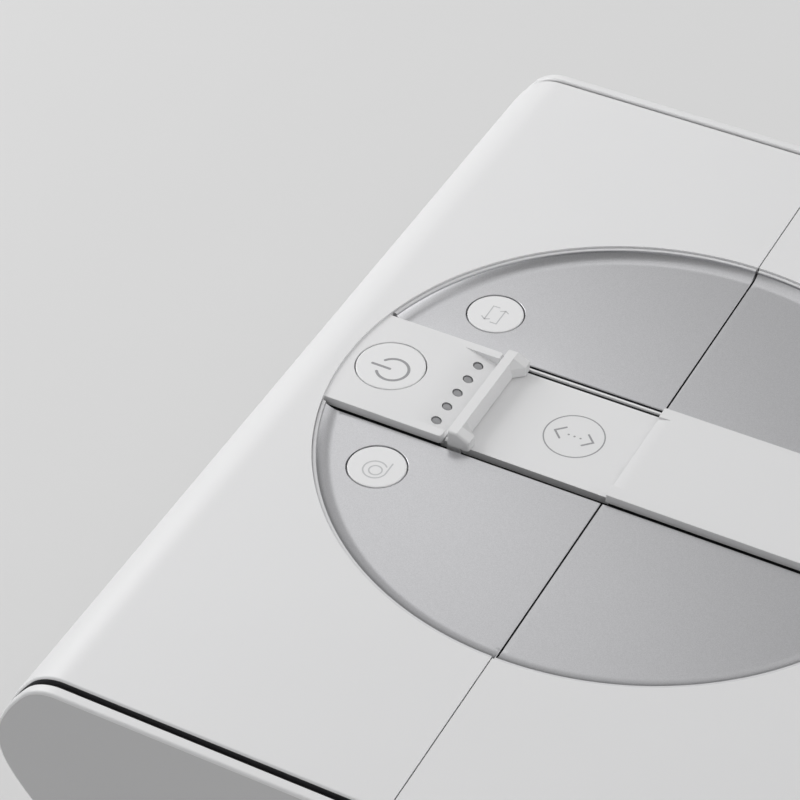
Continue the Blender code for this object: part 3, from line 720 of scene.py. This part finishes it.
def dish(side, half):
    """Half of the dish: satin floor and sweep, pale lip, tray under the bar whose inside is painted
    dark as painted shade.
    """
    drop = BLEND_TOP - FLOOR
    reach = math.sqrt(BLEND_R**2 - (BLEND_R - drop) ** 2)
    angle = math.degrees(math.asin(reach / BLEND_R))
    sweep = arc(DISH_R - reach, FLOOR + BLEND_R, BLEND_R, -90, -90 + angle, 14)
    inner_lip = arc(DISH_R + LIP_ROUND, LIP_TOP - LIP_ROUND, LIP_ROUND, 180, 90, 5)
    outer_lip = arc(LIP_R - LIP_ROUND, LIP_TOP - LIP_ROUND, LIP_ROUND, 90, 0, 5)
    under = TOP - WALL - 0.3
    profile = [(0.0, FLOOR), (DISH_R - reach - 0.8, FLOOR)] + sweep
    profile += inner_lip + outer_lip
    profile += [
        (LIP_R, under),
        (FLANGE_R, under),
        (FLANGE_R, DISH_BOTTOM),
        (0.0, DISH_BOTTOM),
    ]
    start = 90.0 if side < 0 else -90.0
    bowl = raw(half, turned(profile, side * SEAM, 0, start, 180.0, 144))
    low, high = SLOT_Y
    xs = sorted((side * SEAM, side * (FLANGE_R - 1.0)))
    tray = box(xs, (low - 1.2, high + 1.2), (TRAY_BOTTOM, FLOOR - 1.0))
    boolean(bowl, tray, "UNION")
    near_edge = arc(low - SLOT_ROUND, FLOOR - SLOT_ROUND, SLOT_ROUND, 0, 90, 4)
    far_edge = arc(high + SLOT_ROUND, FLOOR - SLOT_ROUND, SLOT_ROUND, 90, 180, 4)
    slot = [(low, TRAY_TOP), *near_edge, (low - SLOT_ROUND, TOP + 2)]
    slot += [(high + SLOT_ROUND, TOP + 2), *far_edge, (high, TRAY_TOP)]
    xs = sorted((-side * 1.0, side * (LIP_R + 0.5)))
    boolean(bowl, prism(slot, "x", *xs))
    open_x = SEAM + SEAM_CUT + SEAM_ROUND
    edge = arc(open_x, FLOOR - SEAM_ROUND, SEAM_ROUND, 180, 90, 3)
    seam = [(-1.0, TRAY_BOTTOM - 1), (SEAM + SEAM_CUT, TRAY_BOTTOM - 1), *edge]
    seam += [(open_x, TOP + 1), (-1.0, TOP + 1)]
    boolean(bowl, prism([(side * x, z) for x, z in seam], "y", -95, 95))
    if side < 0:
        boolean(bowl, disc(POWER_X, 0, 5.0, TRAY_BOTTOM - 1, TRAY_TOP + 1))
        for y in (-MODE_Y, MODE_Y):
            radius = MODE_R + MODE_GAP
            boolean(bowl, flared_hole(MODE_X, y, radius, FLOOR, 0.15, 6.0))
        lever = (KNOB_BACK - 0.4, KNOB_FOOT + 38.4)
        boolean(bowl, box(lever, (-1.6, 1.6), (TRAY_BOTTOM - 1, TRAY_TOP + 1)))
        pipes = (LED_X - 2.0, LED_X + 2.0)
        boolean(bowl, box(pipes, (-15.5, 15.5), (TRAY_BOTTOM - 1, TRAY_TOP + 1)))

    def on_lip(c):
        radius = math.hypot(c.x - side * SEAM, c.y)
        return c.z > LIP_TOP - LIP_ROUND and radius > DISH_R

    # Faces inside the slot under the bar are painted dark: painted shade in the slot
    def in_tray(c):
        inside = low - 0.02 < c.y < high + 0.02
        return inside and TRAY_TOP - 0.05 < c.z < FLOOR - SLOT_ROUND - 0.1

    paint(bowl, [("lip_white", on_lip), ("dark_plastic", in_tray)], "grey_paint")
    piece(bowl, f"{half}_bowl", "grey_paint", BODY[half], (f"{half}_dish",))


def seam_strips():
    """Thin dark strips on the left half that close the seam to light."""
    across = (0.01 - SEAM, SEAM - 0.05)
    skin = ("skin", LIP_R + 0.5, HALF_L - 1.0, (TOP - WALL, TOP - 0.8))
    floor = ("dish", BAR_Y + 3.0, DISH_R - 6.0, (DISH_BOTTOM, FLOOR - 0.5))
    for place, turn in (("near", -1), ("far", 1)):
        for part, start, stop, zs in (skin, floor):
            ys = sorted((turn * start, turn * stop))
            strip = raw(part, box(across, ys, zs))
            bevel(strip, 0.05, 2)
            piece(strip, f"{place}_{part}_seam", "rubber", "left_half")


def flared_hole(x, y, radius, top, round_, depth, count=96):
    """Cutter for a round hole whose upper edge is rounded."""
    flare = [(radius, top - depth)]
    for k in range(5):
        turn = math.radians(90 * k / 4)
        flare.append(
            (radius + round_ * (1 - math.cos(turn)), top - round_ * (1 - math.sin(turn)))
        )
    profile = [(0.0, top - depth)] + flare + [(radius + round_, top + 3), (0.0, top + 3)]
    return turned(profile, x, y, count=count)


# ---------------------------------------------------------------- control bar


def bar_outline(side, near, corner, inset=0.0):
    """Plan of the head or sleeve: a strip whose outer end follows the lip."""
    half = BAR_Y - inset
    radius = HOLE_R - 0.01
    angle = math.degrees(math.asin(half / radius))
    curve = arc(SEAM, 0, radius, angle, -angle, 24)
    bend = corner - inset if corner > inset else 0.05
    x = near + inset + bend
    far_corner = arc(x, half - bend, bend, 180, 90, 5)
    near_corner = arc(x, bend - half, bend, 270, 180, 5)
    return [(side * a, b) for a, b in [*far_corner, *curve, *near_corner]]


def bar_body(side, near, corner):
    """The strip as a solid with a rounded upper edge and a narrower skirt."""
    rings = []
    for z, inset in (
        (BAR_BOTTOM, SKIRT_INSET),
        (COVER_BOTTOM, SKIRT_INSET),
        (COVER_BOTTOM, 0.0),
    ):
        rings.append([(x, y, z) for x, y in bar_outline(side, near, corner, inset)])
    for k in range(5):
        turn = math.radians(90 * k / 4)
        inset = BAR_ROUND * (1 - math.cos(turn))
        z = LIP_TOP - BAR_ROUND * (1 - math.sin(turn))
        rings.append([(x, y, z) for x, y in bar_outline(side, near, corner, inset)])
    return loft(bmesh.new(), rings)


# Faces below the cover's lower edge (the skirt) are painted dark: painted shade in the slot
def painted_shade_below_cover(c):
    return c.z < COVER_BOTTOM - 0.02


def led_places():
    return [LED_PITCH * (i - 2) for i in range(5)]


def ramp_z(x):
    return LIP_TOP - RAMP_SLOPE * (x - RAMP_START)


def control_head():
    head = raw("head", bar_body(-1, -HEAD_END, 0.9))
    past = HEAD_END + 1.0
    wedge = [
        (RAMP_START, LIP_TOP),
        (past, ramp_z(past)),
        (past, LIP_TOP + 3),
        (RAMP_START, LIP_TOP + 3),
    ]
    boolean(head, prism(wedge, "y", -RAMP_Y, RAMP_Y))
    zs = (BAR_BOTTOM - 1, HEAD_CEILING)
    boolean(head, box((-87.6, -53.0), (-18.3, 18.3), zs))
    zs = (BAR_BOTTOM - 2, TONGUE_TOP - 1.0)
    boolean(head, box((-54.0, past), (-18.6, 18.6), zs))
    boolean(head, flared_hole(POWER_X, 0, POWER_R + BUTTON_GAP, LIP_TOP, 0.15, 6.0))
    for y in led_places():
        boolean(head, disc(LED_X, y, LED_R, HEAD_CEILING - 1, TOP + 1, 32))

    # Walls of the lamp holes take the ink grey: painted shade in the gap round each lens
    def in_lamp_hole(c):
        near = min(abs(c.y - y) for y in led_places())
        return math.hypot(c.x - LED_X, near) < LED_R and c.z < ramp_z(c.x) - 0.1

    rules = [("dark_plastic", painted_shade_below_cover), ("ink_and_hole_shade", in_lamp_hole)]
    paint(head, rules, "white_plastic")
    piece(head, "head", "white_plastic", "left_half", ("control_head",))


def lamps():
    """Five domed light pipes."""
    for number, y in enumerate(led_places(), 1):
        node = f"lamp_lens_{number}"
        low, _ = mm_box(node)
        radius = LED_R - 0.24
        rings = []
        z = ramp_z(LED_X) - 0.32
        levels = [(low[2], radius), (z - 1.0, radius)]
        levels += [
            (z + 0.22 * math.sin(t), radius * math.cos(t))
            for t in [math.radians(d) for d in (0, 20, 40, 60, 78)]
        ]
        for level, size in levels:
            tilt = RAMP_SLOPE if level > low[2] else 0.0
            ring = circle(LED_X, y, size, 32)
            rings.append([(a, b, level - tilt * (a - LED_X)) for a, b in ring])
        lens = raw(node, loft(bmesh.new(), rings))
        piece(lens, f"lens_{number}", "lamp_lens", "left_half", (node,))


def tongue():
    """Strip that runs on under the sleeve, with its far-side rail."""
    outline = [
        (TONGUE_LOW[0], TONGUE_BOTTOM),
        (TONGUE_HIGH[0], TONGUE_BOTTOM),
        (TONGUE_HIGH[0], TONGUE_TOP),
        (HEAD_END + 0.3, TONGUE_TOP),
        (HEAD_END + 0.3, TONGUE_TOP - 1.3),
        (TONGUE_LOW[0], TONGUE_TOP - 1.3),
    ]
    strip = raw("strip", prism(outline, "y", -TONGUE_Y, TONGUE_Y))
    for xs in ((-52.6, -50.4), (-6.0, -0.8)):
        blocks = box(xs, (-15, 15), (BAR_BOTTOM, TONGUE_BOTTOM + 0.5))
        boolean(strip, blocks, "UNION")
    bevel(strip, 0.4)
    piece(strip, "tongue_strip", "white_plastic", "left_half", ("tongue",))
    low, high = mm_box("guide_rail")
    outline = [
        (low[1], high[2]),
        (high[1], high[2]),
        (high[1], low[2]),
        (high[1] - 0.4, low[2]),
        (high[1] - 0.4, high[2] - 0.8),
        (low[1], high[2] - 0.8),
    ]
    rail = raw("rail", prism(outline, "x", low[0], high[0]))
    bevel(rail, 0.12)
    # The rail's lower part, down in the slot, is painted dark: painted shade
    under = high[2] - 0.82
    paint(rail, [("dark_plastic", lambda c: c.z < under)], "white_plastic")
    piece(rail, "rail", "white_plastic", "left_half", ("guide_rail",))


def sleeve():
    cover = raw("cover", bar_body(1, SLEEVE_X, 0.4))
    zs = (BAR_BOTTOM - 1, TONGUE_TOP + 0.4)
    boolean(cover, box((-2, 84), (-18.7, 18.7), zs))
    wedge = [
        (-2.0, MOUTH_Z),
        (SLEEVE_X, MOUTH_Z),
        (MOUTH_END, LIP_TOP),
        (MOUTH_END + 1.0, LIP_TOP + 2),
        (-2.0, LIP_TOP + 2),
    ]
    boolean(cover, prism(wedge, "y", -MOUTH_Y, MOUTH_Y))
    # The skirt below the cover is painted dark as painted shade
    paint(cover, [("dark_plastic", painted_shade_below_cover)], "white_plastic")
    piece(cover, "bar_sleeve", "white_plastic", "right_half", ("sleeve",))


def cheek_shape(inset):
    """Foot x, tip x, tip height and inset of a cheek's cross-section."""
    return (KNOB_TIP - inset, KNOB_TIP - inset, KNOB_TIP_TOP - inset, inset)


def knob():
    """Sliding knob: low ridge with a flared cheek at each end."""
    low, _ = mm_box("slider_knob")
    under = TONGUE_TOP + 0.3
    middle = (KNOB_FOOT, KNOB_FOOT - 0.5, KNOB_FOOT_TOP, 0.0)
    stations = []
    for end in (-1, 1):
        cheeks = [(end * KNOB_Y_IN, middle), (end * KNOB_Y_OUT, cheek_shape(0.0))]
        for k in range(6):
            turn = math.radians(90 * k / 5)
            y = end * (KNOB_Y_END - CHEEK_ROUND + CHEEK_ROUND * math.sin(turn))
            cheeks.append((y, cheek_shape(CHEEK_ROUND * (1 - math.cos(turn)))))
        stations += cheeks[::end]
    rings = []
    for y, (foot, low_x, low_z, inset) in stations:
        rings.append(
            [
                (KNOB_BACK + inset, y, under),
                (foot, y, under),
                (low_x, y, low_z),
                (KNOB_CREST, y, KNOB_TOP - inset),
                (KNOB_BACK + 0.3 + inset, y, KNOB_TOP - inset),
            ]
        )
    body = raw("body", loft(bmesh.new(), rings))
    bevel(body, 0.28, 3, 24)
    inside = TONGUE_Y + 0.35
    for ys in ((-inside - 0.75, -inside), (inside, inside + 0.75)):
        tabs = box((KNOB_BACK + 0.1, KNOB_FOOT - 0.1), ys, (low[2], TONGUE_TOP + 1.0))
        boolean(body, tabs, "UNION")
    piece(body, "knob", "white_plastic", "slider", ("slider_knob",))


def button(name, x, y, radius, top, ceiling):
    """Round cap with a rounded edge, retaining flange and stem."""
    low, _ = mm_box(name)
    edge = arc(radius - 0.3, top - 0.3, 0.3, 0, 90, 5)
    profile = [
        (0.0, low[2]),
        (3.0, low[2]),
        (3.0, ceiling - 1.3),
        (radius + 0.8, ceiling - 1.3),
        (radius + 0.8, ceiling - 0.3),
        (radius, ceiling - 0.3),
        *edge,
        (radius - 0.8, top),
        (0.0, top),
    ]
    cap = raw(name, turned(profile, x, y, count=96))
    piece(cap, f"{name}_cap", "button_white", name, (name,))


# ---------------------------------------------------------------- printed marks


def ribbon(bm, points, width, base, top, closed=False, square=False):
    """Printed line of one width along points, a few hundredths thick."""
    path = [Vector(p) for p in points]
    widths = [width] * len(path)
    if not closed and not square:
        first = (path[0] - path[1]).normalized()
        last = (path[-1] - path[-2]).normalized()
        start, end = path[0], path[-1]
        for reach in (0.35, 0.7, 0.92):
            narrow = math.sqrt(1 - reach**2) * width
            path.insert(0, start + first * width / 2 * reach)
            widths.insert(0, narrow)
            path.append(end + last * width / 2 * reach)
            widths.append(narrow)
    count = len(path)
    rows = []
    for i, here in enumerate(path):
        back = path[i - 1] if i or closed else None
        on = path[(i + 1) % count] if i < count - 1 or closed else None
        one = (here - back).normalized() if back else None
        two = (on - here).normalized() if on else None
        along = (one + two).normalized() if one and two else (one or two)
        across = Vector((-along.y, along.x))
        stretch = 1 / max(0.5, along.dot(one)) if one and two else 1.0
        side = across * widths[i] / 2 * stretch
        rows.append(
            [
                bm.verts.new((*(here + side), base)),
                bm.verts.new((*(here - side), base)),
                bm.verts.new((*(here - side), top)),
                bm.verts.new((*(here + side), top)),
            ]
        )
    pairs = list(zip(rows, rows[1:]))
    if closed:
        pairs.append((rows[-1], rows[0]))
    for low, high in pairs:
        for i in range(4):
            j = (i + 1) % 4
            bm.faces.new((low[i], low[j], high[j], high[i]))
    if not closed:
        bm.faces.new(rows[0][::-1])
        bm.faces.new(rows[-1])


def moved(points, x, y):
    return [(a + x, b + y) for a, b in points]


def mark(name, x, y, surface, lines, material, body, slot):
    """Several printed lines on one surface; each is points, width and closed."""
    bm = bmesh.new()
    for points, width, closed in lines:
        path = moved(points, x, y)
        ribbon(bm, path, width, surface - 0.03, surface + 0.02, closed)
    made = raw(name, bm)
    piece(made, name, slot, body, material=material)


def marks():
    power = [
        (arc(1.25, -1.25, 4.65, 214, 505, 48), 0.85, False),
        ([(-5.24, -1.3), (0.35, -1.3)], 0.85, False),
    ]
    mark("power_mark", POWER_X, 0, LIP_TOP, power, "ink_and_hole_shade", "power_button", "button_white")
    tail = arc(0.05, -1.3, 3.4, 44, 360, 40)
    coil = [
        (tail + [(3.45, 2.9)], 0.45, False),
        (circle(0.3, -1.5, 1.85, 32), 0.45, True),
    ]
    mark(
        "coil_mark", MODE_X, -MODE_Y, FLOOR, coil,
        "faint_ink", "front_mode_button", "button_white",
    )
    cycle = [
        ([(-0.1, 3.0), (-2.05, 2.9), (-1.95, -3.45)], 0.4, False),
        ([(-3.2, -2.7), (-1.95, -3.6), (-0.6, -2.9)], 0.4, False),
        ([(0.2, -4.1), (2.15, -4.1), (2.13, 2.3)], 0.4, False),
        ([(0.9, 1.6), (2.13, 2.4), (3.3, 1.7)], 0.4, False),
    ]
    mark(
        "cycle_mark", MODE_X, MODE_Y, FLOOR, cycle,
        "faint_ink", "rear_mode_button", "button_white",
    )
    slide = [
        (circle(0, 0, 8.66, 96), 0.4, True),
        ([(-3.45, 2.45), (-5.95, 0), (-3.45, -2.45)], 0.6, False),
        ([(3.4, 2.45), (5.85, 0), (3.4, -2.45)], 0.6, False),
    ]
    for x in (-1.7, 0.1, 1.95):
        slide.append(([(x - 0.03, 0), (x + 0.03, 0)], 0.6, False))
    mark("slide_mark", MARK_X, 0, TONGUE_TOP, slide, "ink_and_hole_shade", "left_half", "white_plastic")


# ---------------------------------------------------------------- scene

BODY = {"left": "left_half", "right": "right_half"}


def dress_nodes():
    """Gives every CAD node that stays visible its procedural material."""
    slots = {
        row["node"]: row["material_slot"]
        for row in frame["record"]["subparts"]
        if "material_slot" in row
    }
    for name, node in frame["nodes"].items():
        slot = slots.get(name, "white_plastic")
        for place in node.material_slots:
            place.material = MATERIALS[slot]


def studio():
    """Floor, soft lights and the camera at the photograph's angle."""
    bm = bmesh.new()
    size = FLOOR_HALF
    corners = [(-size, -size), (size, -size), (size, size), (-size, size)]
    bm.faces.new([bm.verts.new((x, y, -FLOOR_DROP)) for x, y in corners])
    mesh = bpy.data.meshes.new("floor")
    bm.to_mesh(mesh)
    bm.free()
    floor = bpy.data.objects.new("floor", mesh)
    bpy.context.scene.collection.objects.link(floor)
    paper = moulded("floor", (0.2, 0.2, 0.2), 0.9, 300.0, 0.00001, vary=0.01, specular=0.1)
    shader = paper.node_tree.nodes["Principled BSDF"]
    shader.inputs["Emission Color"].default_value = (1.0, 1.0, 1.0, 1.0)
    shader.inputs["Emission Strength"].default_value = FLOOR_GLOW
    floor.data.materials.append(paper)
    world = bpy.data.worlds.new("world")
    bpy.context.scene.world = world
    world.use_nodes = True
    shade = world.node_tree.nodes["Background"]
    shade.inputs["Color"].default_value = (1.0, 1.0, 1.0, 1.0)
    shade.inputs["Strength"].default_value = WORLD
    for name, azimuth, elevation, distance, size, power in LIGHTS:
        turn, rise = math.radians(azimuth), math.radians(elevation)
        flat = distance * math.cos(rise)
        place = (-flat * math.sin(turn), flat * math.cos(turn), distance * math.sin(rise))
        light = bpy.data.lights.new(name, "AREA")
        light.shape = "SQUARE"
        light.size = size
        light.energy = power
        lamp = bpy.data.objects.new(name, light)
        lamp.location = place
        aim = Vector(AIM) - Vector(place)
        lamp.rotation_euler = aim.to_track_quat("-Z", "Y").to_euler()
        bpy.context.scene.collection.objects.link(lamp)
    camera = bpy.data.cameras.new("camera")
    camera.lens = CAMERA_LENS
    camera.sensor_width = 36.0
    view = bpy.data.objects.new("camera", camera)
    view.location = CAMERA_PLACE
    view.rotation_euler = (math.radians(90 - CAMERA_DIP), 0, math.radians(CAMERA_TURN))
    bpy.context.scene.collection.objects.link(view)
    bpy.context.scene.camera = view
    bpy.context.scene.view_settings.view_transform = "Standard"


WORLD = 0.05
# The floor, in metres, and how much it glows
FLOOR_HALF = 20.0
FLOOR_DROP = 0.0002
FLOOR_GLOW = 0.475
# The camera, in metres and degrees
CAMERA_LENS = 130.66
CAMERA_PLACE = (0.2168, -0.5529, 0.6026)
CAMERA_DIP = 41.789
CAMERA_TURN = 27.697
# The lights point here. The first one is below the floor, which hides it unless the
# floor is taken away to see the underside.
AIM = (0, 0, 0.05)
# name, azimuth from +Y towards -X, elevation, distance (m), size (m), power (W)
LIGHTS = (
    ("under", 200, -50, 1.8, 1.6, 14.0),
    ("broad_left", 65, 45, 1.9, 2.2, 11.4),
    ("left", 100, 35, 1.8, 1.2, 4.0),
    ("near_left", 80, 30, 0.85, 0.5, 3.0),
    ("back", 20, 35, 0.85, 0.5, 0.32),
    ("back_right", 330, 45, 1.8, 1.2, 5.3),
    ("right", 270, 35, 1.8, 2.2, 15.0),
    ("front", 185, 30, 1.8, 1.4, 5.0),
    ("overhead", 0, 89, 1.8, 1.4, 0.9),
)

dress_nodes()
for side, half in ((-1, "left"), (1, "right")):
    shell(side, half)
    dish(side, half)
    for end in (-1, 1):
        end_cap(side, end, half)
    base_plate(side, half)
    for end in ("near", "far"):
        rubber_foot(half, end)
        base_screw(half, end)
control_head()
lamps()
tongue()
sleeve()
knob()
button("power_button", POWER_X, 0.0, POWER_R, LIP_TOP, HEAD_CEILING)
for place, y in (("front", -MODE_Y), ("rear", MODE_Y)):
    button(f"{place}_mode_button", MODE_X, y, MODE_R, FLOOR, DISH_BOTTOM)
marks()
seam_strips()
wet_cup()
inlet()
studio()
